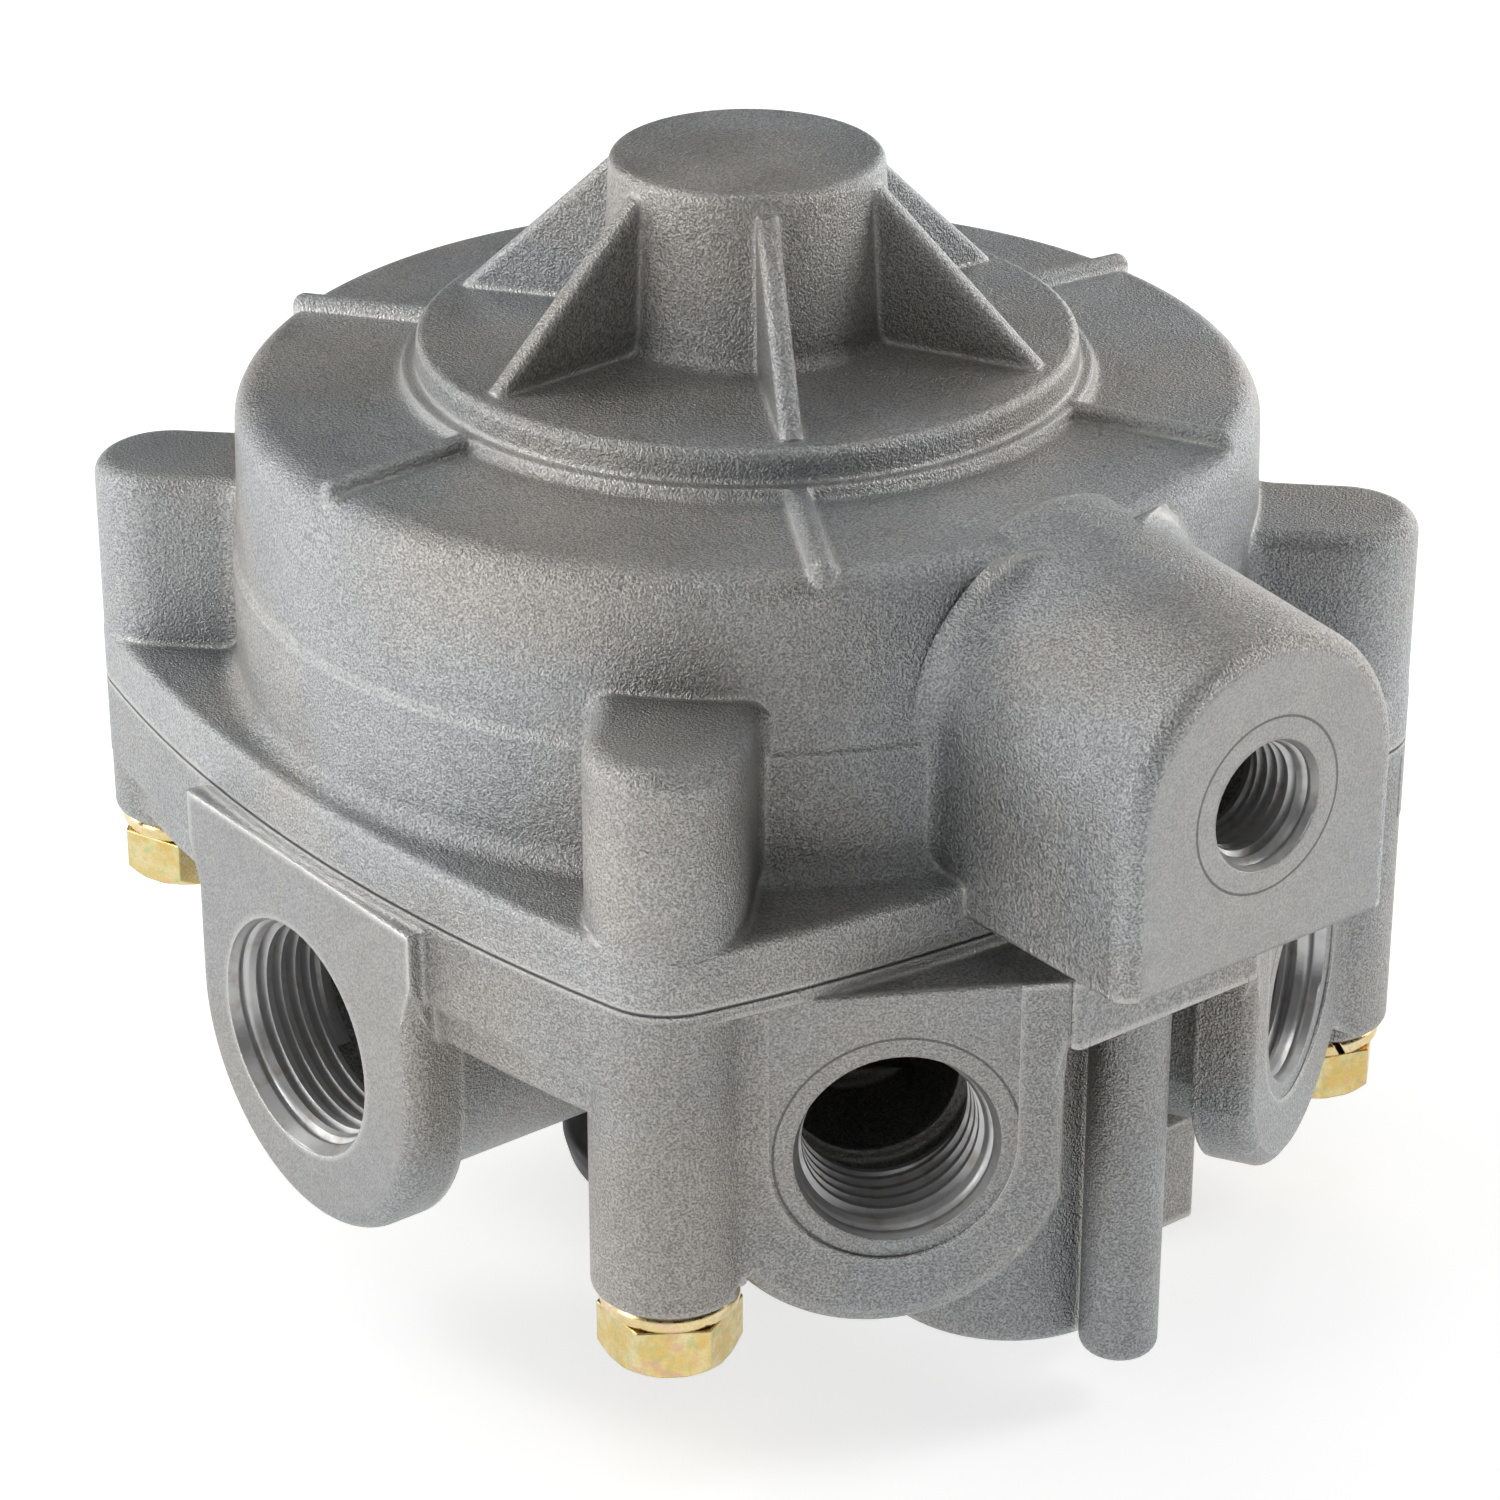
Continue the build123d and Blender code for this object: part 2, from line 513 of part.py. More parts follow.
def delivery_cut():
    """Spot face and threaded bore of a delivery port, turned up to the chamber below the piston."""
    frame = port_frame(*DELIVERY[:4])
    top, run = PORT_TOP_Z - DELIVERY.height, DELIVERY.distance - WELL_REACH
    spot = Pos(SPOT_SHIFT, 0) * (Circle(SPOT_HALF) + Pos(0, top / 2) * Rectangle(2 * SPOT_HALF, top))
    shape = pipe_bore(frame, DELIVERY.wall_r, DELIVERY.length, SPOT_DEPTH)
    shape += frame * Pos(0, 0, -SPOT_DEPTH) * extrude(spot, 2 * CORNER_R)
    shape += drill(frame, DELIVERY.lane_r, run)
    turn = (frame * Pos(0, 0, -run)).position
    return shape + post(turn.X, turn.Y, WELL_R, DELIVERY.height - WELL_R, CHAMBER_Z + 1)


def column():
    """Turned core of the body: its outside, and the chamber, seat and valve bore in it."""
    outer = round_foot(post(0, 0, CORE_R, CORE_FOOT_Z, PORT_TOP_Z), CORE_ROUND)
    chamber = post(0, 0, CHAMBER_R, CHAMBER_Z, 1) + post(0, 0, SEAT_HOLE_R, SEAT_PLATE_Z - 3, 1)
    lip_z, lip_r = SEAT_PLATE_Z - SEAT_LIP, SEAT_HOLE_R + SEAT_LIP_T
    bore = turned([(0, CORE_FOOT_Z - 1), (GUIDE_BORE_R, CORE_FOOT_Z - 1), (GUIDE_BORE_R, SEAT_PLATE_Z),
                   (lip_r + 0.5, SEAT_PLATE_Z), (lip_r, lip_z), (0, lip_z)])
    groove = ring(RETAINER_OUT_R + 0.1, GUIDE_BORE_R - 1, RETAINER_Z, RETAINER_Z + RETAINER_T)
    return outer, chamber + bore + groove


def lobe():
    """Closed round lobe, keel and pad below the control side, with the web to the column."""
    solid = round_foot(post(LOBE_X, 0, LOBE_R, LOBE_FOOT_Z, -BODY_RIM / 2), LOBE_ROUND)
    solid += round_foot(post(KEEL_X, 0, KEEL_R, LOBE_FOOT_Z, -BODY_RIM / 2), LOBE_ROUND)
    pad = Pos(LOBE_X - PAD_BACK, PAD_NEAR, LOBE_FOOT_Z) * Box(
        PAD_BACK + PAD_FRONT, PAD_FAR - PAD_NEAR, PAD_H, align=(Align.MIN, Align.MIN, Align.MIN))
    solid += fillet(pad.edges().filter_by(Axis.Z).sort_by(Axis.X)[-2:], 1.2)
    low, high = CORE_FOOT_Z, -BODY_RIM / 2
    return solid + Pos((CORE_R + LOBE_X) / 2 - 2, 0, (low + high) / 2) * Box(
        LOBE_X - CORE_R + 6, 1.5 * LOBE_R, high - low)


def body():
    """Die-cast body."""
    shape = round_foot(block(flange_face(), -BODY_RIM, 0), EDGE_ROUND)
    shape += round_foot(block(flange_face(RIM_INSET), -BODY_FLANGE, -BODY_RIM + 1), EDGE_ROUND)
    for room in pair(port_room()):
        shape -= room
    reach = SIDE_REACH + SHELF_REACH
    shelf = block(Pos(reach / 2, 0) * Rectangle(reach, 2 * SHELF_HALF), SHELF_FOOT_Z, PORT_TOP_Z)
    shape += fillet(shelf.edges().filter_by(Axis.Z).sort_by(Axis.X)[-2:], SHELF_ROUND)
    outer, inner = column()
    shape += outer
    for name, x, y, foot in corners():
        shape += round_foot(post(x, y, BOSS_R, foot, 0), BOSS_ROUND)
    shape += lobe()
    for boss in pair(port_web()) + pair(port_boss(DELIVERY)) + pair(port_boss(SUPPLY)):
        shape += boss
    shape -= inner
    for bore in pair(supply_cut()) + pair(delivery_cut()):
        shape -= bore
    shape -= ring(SEAL_OUT_R, SEAL_IN_R, -SEAL_GROOVE, 1)
    for name, x, y, foot in corners():
        shape -= post(x, y, SCREW_R + SCREW_PLAY, foot - 1, 1)
        shape -= post(x, y, HEAD_ROOM_R, LOBE_FOOT_Z - 1, foot)
    return shape


def screw(x, y, foot, turn):
    """Hexagon head cap screw from below; the plain shank stands for its thread."""
    seat = foot - LOCK_H
    bottom = Pos(x, y, seat - HEAD_H)
    head = bottom * extrude(Rot(0, 0, turn) * RegularPolygon(HEX_AF / 2, 6, major_radius=False), HEAD_H)
    corner_r = HEX_AF / sqrt(3)
    cone = bottom * Cone(corner_r - HEAD_CHAMFER, corner_r - HEAD_CHAMFER + HEAD_H, HEAD_H, align=(
        Align.CENTER, Align.CENTER, Align.MIN))
    return (head & cone) + post(x, y, SCREW_R - SCREW_SLACK, seat - 1, SCREW_IN_COVER)


def lock_washer(x, y, foot, turn):
    """Split spring washer, round in section, under a screw head."""
    shape = post(x, y, LOCK_OUT_R, foot - LOCK_H, foot)
    shape = fillet(shape.edges().filter_by(GeomType.CIRCLE), 0.43 * LOCK_H)
    shape -= post(x, y, LOCK_IN_R, foot - LOCK_H - 1, foot + 1)
    gap = Pos(x, y, foot - LOCK_H / 2) * Rot(0, 0, turn) * Pos(LOCK_OUT_R - LOCK_WIDTH / 2, 0, 0) * Rot(
        30, 0, 0) * Box(2 * LOCK_WIDTH, LOCK_GAP, 3 * LOCK_H)
    return shape - gap


def sealing_ring():
    """Flat rubber ring between cover and body."""
    return ring(SEAL_OUT_R - SEAL_SLACK, SEAL_IN_R + SEAL_SLACK, -SEAL_GROOVE, 0)


def piston():
    """Relay piston: grooved rim, web, hub and the tube that carries the exhaust seat."""
    seat_z = DISC_REST_Z + STEM_GAP
    groove_r = PISTON_R - PISTON_GROOVE
    low, high = RING_MID_Z - PISTON_GROOVE_H / 2, RING_MID_Z + PISTON_GROOVE_H / 2
    web_z, hub_r = PISTON_FOOT_Z + WEB_T, STEM_R + PISTON_HUB_T
    return turned(
        [(EXHAUST_R, seat_z), (STEM_R, seat_z), (STEM_R, PISTON_FOOT_Z), (PISTON_R, PISTON_FOOT_Z),
         (PISTON_R, low), (groove_r, low), (groove_r, high), (PISTON_R, high), (PISTON_R, STOP_Z),
         (PISTON_R - RIM_T, STOP_Z), (PISTON_R - RIM_T, web_z), (hub_r + 1, web_z), (hub_r, STOP_Z),
         (0, STOP_Z), (0, PISTON_FOOT_Z + 2), (EXHAUST_R, PISTON_FOOT_Z - 2)],
        [((STEM_R, PISTON_FOOT_Z), 2.0)])


def piston_seal():
    """O-ring in the piston rim."""
    out = PISTON_R + 0.02
    bead_r = (PISTON_GROOVE + 0.01) / 2
    return Pos(0, 0, RING_MID_Z) * Torus(out - bead_r, bead_r)


def spring(radius, wire_r, z0, z1):
    """Compression spring: round wire on a helix between two heights."""
    pitch = (z1 - z0 - 2 * wire_r) / SPRING_TURNS
    path = Pos(0, 0, z0 + wire_r) * Helix(pitch, pitch * SPRING_TURNS, radius)
    return sweep(Plane(origin=path @ 0, z_dir=path % 0) * Circle(wire_r), path=path)


def return_spring():
    """Spring that lifts the piston off the valve."""
    return spring(RETURN_SPRING_R, RETURN_SPRING_WIRE_R, CHAMBER_Z, PISTON_FOOT_Z)


def valve_disc():
    """Rubber face of the inlet and exhaust valve, closed against the inlet seat."""
    return ring(DISC_OUT_R, DISC_IN_R, TUBE_TOP_Z, DISC_REST_Z)


def valve_tube():
    """Hollow stem of the valve, its flange under the rubber face."""
    low = TUBE_TOP_Z - TUBE_FLANGE_T
    return turned([(TUBE_IN_R, TUBE_FOOT_Z), (TUBE_R, TUBE_FOOT_Z), (TUBE_R, low), (TUBE_FLANGE_R, low),
                   (TUBE_FLANGE_R, TUBE_TOP_Z), (TUBE_IN_R, TUBE_TOP_Z)])


def valve_collar():
    """Pressed cup that holds the rubber face on the flange of the stem."""
    out, lip_z, low = DISC_OUT_R + COLLAR_T, DISC_REST_Z - COLLAR_T, TUBE_TOP_Z - TUBE_FLANGE_T
    return turned(
        [(TUBE_R, CUP_FOOT_Z), (out, CUP_FOOT_Z), (out, lip_z), (DISC_OUT_R, lip_z), (DISC_OUT_R, TUBE_TOP_Z),
         (TUBE_FLANGE_R, TUBE_TOP_Z), (TUBE_FLANGE_R, low), (TUBE_R, low)])


def valve_spring():
    """Spring that closes the valve."""
    return spring((TUBE_R + DISC_OUT_R) / 2, VALVE_SPRING_WIRE_R, GUIDE_TOP_Z, CUP_FOOT_Z)


def valve_guide():
    """Turned insert that guides the stem, with seals outside and inside and a nozzle below."""
    out, bore, step = GUIDE_BORE_R - GUIDE_CLEAR, TUBE_R + GUIDE_CLEAR, GUIDE_FOOT_Z + 1
    low, high = GROOVE_MID_Z - GUIDE_GROOVE_H / 2, GROOVE_MID_Z + GUIDE_GROOVE_H / 2
    return turned(
        [(bore, GUIDE_TOP_Z), (out, GUIDE_TOP_Z), (out, high), (out - GUIDE_GROOVE, high),
         (out - GUIDE_GROOVE, low), (out, low), (out, GUIDE_FOOT_Z), (NOZZLE_R, GUIDE_FOOT_Z),
         (NOZZLE_R, NOZZLE_FOOT_Z), (NOZZLE_IN_R, NOZZLE_FOOT_Z), (NOZZLE_IN_R, step), (bore, step),
         (bore, low), (bore + GUIDE_GROOVE, low), (bore + GUIDE_GROOVE, high), (bore, high)])


def guide_seals():
    """O-rings of the guide: outside against the body and inside against the stem."""
    bead_r, slack = GUIDE_GROOVE / 2 - 0.03, 0.01
    outer_r = GUIDE_BORE_R - GUIDE_CLEAR - GUIDE_GROOVE + slack + bead_r
    inner_r = TUBE_R + GUIDE_CLEAR + GUIDE_GROOVE - slack - bead_r
    place = Pos(0, 0, GROOVE_MID_Z)
    return place * Torus(outer_r, bead_r), place * Torus(inner_r, bead_r)


def retaining_ring():
    """Internal snap ring that holds the guide in the body."""
    flat = ring(RETAINER_OUT_R, RETAINER_IN_R, RETAINER_Z, RETAINER_Z + RETAINER_T)
    gap = Pos(-RETAINER_OUT_R, 0, RETAINER_Z) * Box(3 * RETAINER_WIDTH, RETAINER_GAP, 4 * RETAINER_T)
    return flat - gap


def spider():
    """Three-armed cross in the nozzle that carries the flap screw."""
    top = NOZZLE_FOOT_Z + SPIDER_T
    hub = post(0, 0, SPIDER_HUB_R, NOZZLE_FOOT_Z, top)
    for k in range(3):
        hub += Rot(0, 0, 120 * k) * Pos(NOZZLE_IN_R / 2, 0, (NOZZLE_FOOT_Z + top) / 2) * Box(
            NOZZLE_IN_R, SPIDER_ARM, SPIDER_T)
    hub &= post(0, 0, NOZZLE_IN_R, NOZZLE_FOOT_Z - 1, top + 1)
    return hub - post(0, 0, FLAP_SCREW_R, NOZZLE_FOOT_Z - 1, top + 1)


def exhaust_shield():
    """Black rubber shield pushed over the nozzle, flared to the ring that the valve stands on."""
    top, out = CORE_FOOT_Z - SHIELD_GAP, NOZZLE_R + SHIELD_T
    ring_z, rest_r = NOZZLE_FOOT_Z - 1.4, SHIELD_R - SHIELD_TAPER
    ring_in = SHIELD_R - SHIELD_FOOT_T
    return turned(
        [(NOZZLE_R, NOZZLE_FOOT_Z), (NOZZLE_R, top), (out, top), (out + 0.2, ring_z + 1.8),
         (SHIELD_R, ring_z), (rest_r, -PARTING_Z), (ring_in, -PARTING_Z), (ring_in - 1.5, NOZZLE_FOOT_Z)],
        [((SHIELD_R, ring_z), 1.1), ((rest_r, -PARTING_Z), 0.8), ((out, top), 0.8)])


def exhaust_flap():
    """Rubber disc that closes the nozzle and lets exhaust air lift it."""
    return ring(NOZZLE_IN_R + FLAP_OVER, FLAP_SCREW_R, NOZZLE_FOOT_Z - FLAP_T, NOZZLE_FOOT_Z)


def flap_washer():
    """Small washer under the flap."""
    return ring(FLAP_WASHER_R, FLAP_SCREW_R, FLAP_WASHER_Z, FLAP_WASHER_Z + FLAP_WASHER_T)


def flap_screw():
    """Pan head screw that clamps the flap to the spider."""
    low = FLAP_WASHER_Z - FLAP_HEAD_H
    head = round_foot(post(0, 0, FLAP_HEAD_R, low, FLAP_WASHER_Z), 0.47 * FLAP_HEAD_H)
    shank = post(0, 0, FLAP_SCREW_R - 0.02, FLAP_WASHER_Z - FLAP_HEAD_H / 3, NOZZLE_FOOT_Z + SPIDER_T)
    slot = Pos(0, 0, low) * Box(3 * FLAP_HEAD_R, 0.8, 0.7 * FLAP_HEAD_H)
    return head + shank - slot


def write(name, shape):
    """Lift a part from the parting plane to its height and write it under its name."""
    shape = Pos(0, 0, PARTING_Z) * shape
    shape.label = name
    export_step(shape, f"parts/{name}.step")


os.makedirs("parts", exist_ok=True)
write("cover", cover())
write("body", body())
for (name, x, y, foot), head_turn, split_turn in zip(corners(), SCREW_TURNS, SPLIT_TURNS):
    write("screw_" + name, screw(x, y, foot, head_turn))
    write("lock_washer_" + name, lock_washer(x, y, foot, split_turn))
write("sealing_ring", sealing_ring())
write("relay_piston", piston())
write("piston_o_ring", piston_seal())
write("return_spring", return_spring())
write("valve_disc", valve_disc())
write("valve_tube", valve_tube())
write("valve_collar", valve_collar())
write("valve_spring", valve_spring())
write("valve_guide", valve_guide())
outer_seal, inner_seal = guide_seals()
write("guide_outer_o_ring", outer_seal)
write("guide_inner_o_ring", inner_seal)
write("retaining_ring", retaining_ring())
write("exhaust_spider", spider())
write("exhaust_shield", exhaust_shield())
write("exhaust_flap", exhaust_flap())
write("flap_washer", flap_washer())
write("flap_screw", flap_screw())
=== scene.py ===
# Looks of the relay valve: cast, milled, plated, turned and rubber surfaces on the imported model,
# cut threads in its ports, round feet on its port plates, and copies of its springs.
# Metres, Z up, control port towards +X.

import json
from math import cos, radians, sin, tau

import bmesh
import bpy
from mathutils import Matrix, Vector


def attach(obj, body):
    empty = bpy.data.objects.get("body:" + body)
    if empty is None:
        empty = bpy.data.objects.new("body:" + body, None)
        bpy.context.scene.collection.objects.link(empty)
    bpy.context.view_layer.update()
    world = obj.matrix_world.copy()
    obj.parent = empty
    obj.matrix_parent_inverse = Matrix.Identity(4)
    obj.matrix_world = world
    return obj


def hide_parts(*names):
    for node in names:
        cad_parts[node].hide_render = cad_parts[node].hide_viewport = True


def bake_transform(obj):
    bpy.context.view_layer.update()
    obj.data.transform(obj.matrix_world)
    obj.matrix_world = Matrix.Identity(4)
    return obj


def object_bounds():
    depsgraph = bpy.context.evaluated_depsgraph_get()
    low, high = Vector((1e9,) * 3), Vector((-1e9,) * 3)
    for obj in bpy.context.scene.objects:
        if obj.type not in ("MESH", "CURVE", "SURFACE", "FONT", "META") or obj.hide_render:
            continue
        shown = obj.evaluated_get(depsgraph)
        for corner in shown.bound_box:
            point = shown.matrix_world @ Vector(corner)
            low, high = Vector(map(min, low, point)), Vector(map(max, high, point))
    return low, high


bpy.context.scene.view_settings.view_transform = "Standard"
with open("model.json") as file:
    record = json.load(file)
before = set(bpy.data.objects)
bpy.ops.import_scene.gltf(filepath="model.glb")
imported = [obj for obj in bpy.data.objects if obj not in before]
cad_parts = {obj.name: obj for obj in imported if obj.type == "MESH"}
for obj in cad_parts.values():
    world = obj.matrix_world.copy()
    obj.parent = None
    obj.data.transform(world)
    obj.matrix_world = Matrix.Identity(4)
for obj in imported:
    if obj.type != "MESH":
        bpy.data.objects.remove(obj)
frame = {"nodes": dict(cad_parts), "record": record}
cad_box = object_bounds()
nodes = frame["nodes"]
record_mounts = {m["name"]: m for m in frame["record"]["mounts"]}
MM = 0.001
ORIGIN, UP = (0, 0, 0), (0, 0, 1)


def add_object(name, data):
    """New object in the scene."""
    made = bpy.data.objects.new(name, data)
    bpy.context.scene.collection.objects.link(made)
    return made


def outward(azimuth, elevation):
    """Unit vector from the object towards a camera or lamp."""
    return Vector((cos(elevation) * cos(azimuth), cos(elevation) * sin(azimuth), sin(elevation)))


def look_back(thing, away):
    """Turn a camera or lamp to look against away."""
    thing.rotation_mode = "QUATERNION"
    thing.rotation_quaternion = (-away).to_track_quat("-Z", "Y")


# Camera at the photograph's angle
AZIMUTH, ELEVATION = radians(-37.912), radians(26.205)
DISTANCE, FOCAL_PX, FRAME_PX = 525.91 * MM, 4711.79, 1500
LOOK_RIGHT, LOOK_UP = 0.281 * MM, 50.535 * MM
SENSOR_MM = 36
CLIP_NEAR, CLIP_FAR = 0.01, 50


def add_camera():
    right = Vector((-sin(AZIMUTH), cos(AZIMUTH), 0))
    target = right * LOOK_RIGHT + Vector((0, 0, LOOK_UP))
    away = outward(AZIMUTH, ELEVATION)
    data = bpy.data.cameras.new("camera")
    data.sensor_width = SENSOR_MM
    data.lens = SENSOR_MM * FOCAL_PX / FRAME_PX
    data.clip_start = CLIP_NEAR
    data.clip_end = CLIP_FAR
    camera = add_object("camera", data)
    camera.location = target + away * DISTANCE
    look_back(camera, away)
    bpy.context.scene.camera = camera


# Materials
FLAT_GROUND, SHARP_EDGE = 0.99, 0.86   # how far the rounded normal agrees with the plain one


class Paint:
    """A material under construction, with short calls for the nodes that it uses."""

    def __init__(self, name, colour, metallic, roughness):
        self.material = bpy.data.materials.new(name)
        self.material.use_nodes = True
        self.tree = self.material.node_tree
        self.shader = self.tree.nodes["Principled BSDF"]
        self.place = self.node("ShaderNodeTexCoord").outputs["Object"]
        self.shader.inputs["Base Color"].default_value = (*colour, 1)
        self.shader.inputs["Metallic"].default_value = metallic
        self.shader.inputs["Roughness"].default_value = roughness

    def node(self, kind, values=(), **settings):
        made = self.tree.nodes.new(kind)
        for key, value in settings.items():
            setattr(made, key, value)
        for key, value in dict(values).items():
            self.feed(made.inputs[key], value)
        return made

    def feed(self, socket, value):
        if isinstance(value, bpy.types.NodeSocket):
            self.tree.links.new(value, socket)
        else:
            socket.default_value = value

    def noise(self, size_mm, detail=3.0, rough=0.55, seed=0.0):
        """Noise from 0 to 1 with features of about that size."""
        where = self.place
        if seed:
            shifted = self.node("ShaderNodeMapping", {"Vector": where, "Location": (seed, seed, seed)})
            where = shifted.outputs[0]
        made = self.node("ShaderNodeTexNoise", {
            "Vector": where, "Scale": 1 / (size_mm * MM), "Detail": detail, "Roughness": rough})
        return made.outputs["Fac"]

    def math(self, operation, a, b=0.0):
        made = self.node("ShaderNodeMath", operation=operation)
        self.feed(made.inputs[0], a)
        self.feed(made.inputs[1], b)
        return made.outputs[0]

    def times(self, a, b):
        return self.math("MULTIPLY", a, b)

    def plus(self, a, b):
        return self.math("ADD", a, b)

    def most(self, a, b):
        return self.math("MAXIMUM", a, b)

    def span(self, value, low, high, out_low=0.0, out_high=1.0):
        """Value mapped from one range to another, smooth and clamped."""
        return self.node("ShaderNodeMapRange", {
            "Value": value, "From Min": low, "From Max": high, "To Min": out_low, "To Max": out_high},
            interpolation_type="SMOOTHSTEP").outputs["Result"]

    def blend(self, factor, a, b, mode="MIX"):
        """Colour between a and b."""
        made = self.node("ShaderNodeMix", data_type="RGBA", blend_type=mode)
        for index, value in ((0, factor), (6, a), (7, b)):
            if isinstance(value, tuple):
                value = (*value, 1)
            self.feed(made.inputs[index], value)
        return made.outputs[2]

    def vector(self, operation, a, b=None):
        """Node for a sum on vectors."""
        values = {0: a} if b is None else {0: a, 1: b}
        return self.node("ShaderNodeVectorMath", values, operation=operation)

    def along(self, direction):
        """Distance of the surface point along a direction through the origin."""
        return self.vector("DOT_PRODUCT", self.place, tuple(direction)).outputs["Value"]

    def near(self, value, target, tolerance):
        """1 where value is within tolerance of target, else 0."""
        made = self.node("ShaderNodeMath", {0: value, 1: target, 2: tolerance}, operation="COMPARE")
        return made.outputs[0]

    def axis_distance(self, point, direction):
        """Distance of the surface point from a line."""
        offset = self.vector("SUBTRACT", self.place, tuple(point)).outputs[0]
        across = self.vector("CROSS_PRODUCT", offset, tuple(direction)).outputs[0]
        return self.vector("LENGTH", across).outputs["Value"]

    def edges(self, reach_mm):
        """0 on flat ground, rising to 1 on an edge that is sharper than about that reach."""
        rounded = self.node("ShaderNodeBevel", {"Radius": reach_mm * MM}, samples=6).outputs["Normal"]
        plain = self.node("ShaderNodeNewGeometry").outputs["Normal"]
        agreed = self.vector("DOT_PRODUCT", rounded, plain).outputs["Value"]
        return self.span(agreed, FLAT_GROUND, SHARP_EDGE)

    def bump(self, layers, bevel_mm=0.0):
        """Stack bump layers of (height, depth in mm) on a softly rounded normal."""
        normal = None
        if bevel_mm:
            normal = self.node("ShaderNodeBevel", {"Radius": bevel_mm * MM}, samples=8).outputs["Normal"]
        for height, depth in layers:
            made = self.node("ShaderNodeBump", {"Height": height, "Strength": 1.0, "Distance": depth * MM})
            if normal is not None:
                self.feed(made.inputs["Normal"], normal)
            normal = made.outputs["Normal"]
        self.feed(self.shader.inputs["Normal"], normal)

    def use(self, colour, roughness):
        self.feed(self.shader.inputs["Base Color"], colour)
        self.feed(self.shader.inputs["Roughness"], roughness)
        return self.material


# Ports
MOUTH_DEPTH = 0.8              # from a port's face to where its mount starts, in mm


def port_lines():
    """Axis point, direction, distance of the face along it, and wall radius in mm of each pipe port."""
    lines = {}
    for name, mount in record_mounts.items():
        if mount["kind"] == "threaded_hole":
            point, axis = Vector(mount["pos_m"]), Vector(mount["axis"])
            half = mount["dims"]["length_mm"] / 2 * MM
            face = point.dot(axis) + half + MOUTH_DEPTH * MM
            lines[name] = (point, axis, face, mount["dims"]["r_mm"])
    return lines


PORTS = port_lines()

# Milled port faces, in mm: how far each reaches from its axis, how much of its grain is gone, and
# the radius of a scribed ring
FACES = {"control_port": (30, 0.75, 9.3), "supply_port": (31, 0.6, 0), "delivery_port": (26, 0.25, 12.7)}
FACE_TOLERANCE, FACE_FADE = 0.05, 0.3
LAY_PITCH = 0.42               # of the rings that the cutter leaves
LAY_FULL, LAY_FAINT = 0.45, 0.6        # shares of the reach between which those rings fade
LAY_LEFT = 0.25                # how much of them stays outside
SCRIBED_HALF_WIDTH = 0.14


def port_faces(kind):
    """Planes of the ports of one kind, for the casting's material."""
    reach, milled, ring = FACES[kind]
    planes = []
    for name, (point, axis, face, _) in PORTS.items():
        if name.startswith(kind):
            planes.append((point, axis, face, reach, milled, ring))
    return planes


def milling(paint, faces):
    """Masks for milled ground, the cutter's rings, scribed rings, and faces with no bright edge."""
    machined, rings, marks, dull = 0.0, 0.0, 0.0, 0.0
    for point, axis, face, reach, milled, ring in faces:
        away = paint.axis_distance(point, axis)
        on_plane = paint.near(paint.along(axis), face, FACE_TOLERANCE * MM)
        within = paint.span(away, (reach - FACE_FADE) * MM, (reach + FACE_FADE) * MM, 1.0, 0.0)
        flat = paint.times(on_plane, within)
        lay = paint.math("SINE", paint.times(away, tau / (LAY_PITCH * MM)))
        near_bore = paint.span(away, LAY_FULL * reach * MM, LAY_FAINT * reach * MM, 1.0, LAY_LEFT)
        rings = paint.plus(rings, paint.times(paint.times(lay, near_bore), flat))
        machined = paint.most(machined, paint.times(flat, milled))
        if ring:
            marks = paint.most(marks, paint.times(flat, paint.near(away, ring * MM, SCRIBED_HALF_WIDTH * MM)))
            dull = paint.most(dull, flat)
    return machined, rings, marks, dull


# Cast metal: colours, among them an edge colour that is partly burnished wear and partly a painted highlight,
# and the dark joint of cover and body at its height in mm
CAST, COOL_CAST, WARM_CAST = (0.42, 0.42, 0.415), (0.415, 0.425, 0.43), (0.44, 0.42, 0.395)
MILLED, SCUFFED, SCRIBED = (0.32, 0.32, 0.315), (0.37, 0.365, 0.355), (0.1, 0.1, 0.095)
BURNISHED_AND_HIGHLIT, PITTED, SEAM = (0.68, 0.67, 0.65), (0.17, 0.165, 0.16), (0.03, 0.03, 0.03)
PARTING_Z, SEAM_DARK, SEAM_END = 57.0, 0.08, 0.3
# Sizes in mm of what the noises draw, and depths in mm of the relief
FINE_GRAIN, COARSE_GRAIN, PITS, SCUFFS, WAVES, MOTTLE, STAINS = 0.26, 0.62, 0.9, 2.6, 6, 11, 30
GRAIN_DEPTH, WAVE_DEPTH, LAY_DEPTH, SCRIBED_DEPTH = 0.42, 0.12, 0.003, 0.05
CAST_BEVEL, EDGE_REACH = 0.8, 1.8


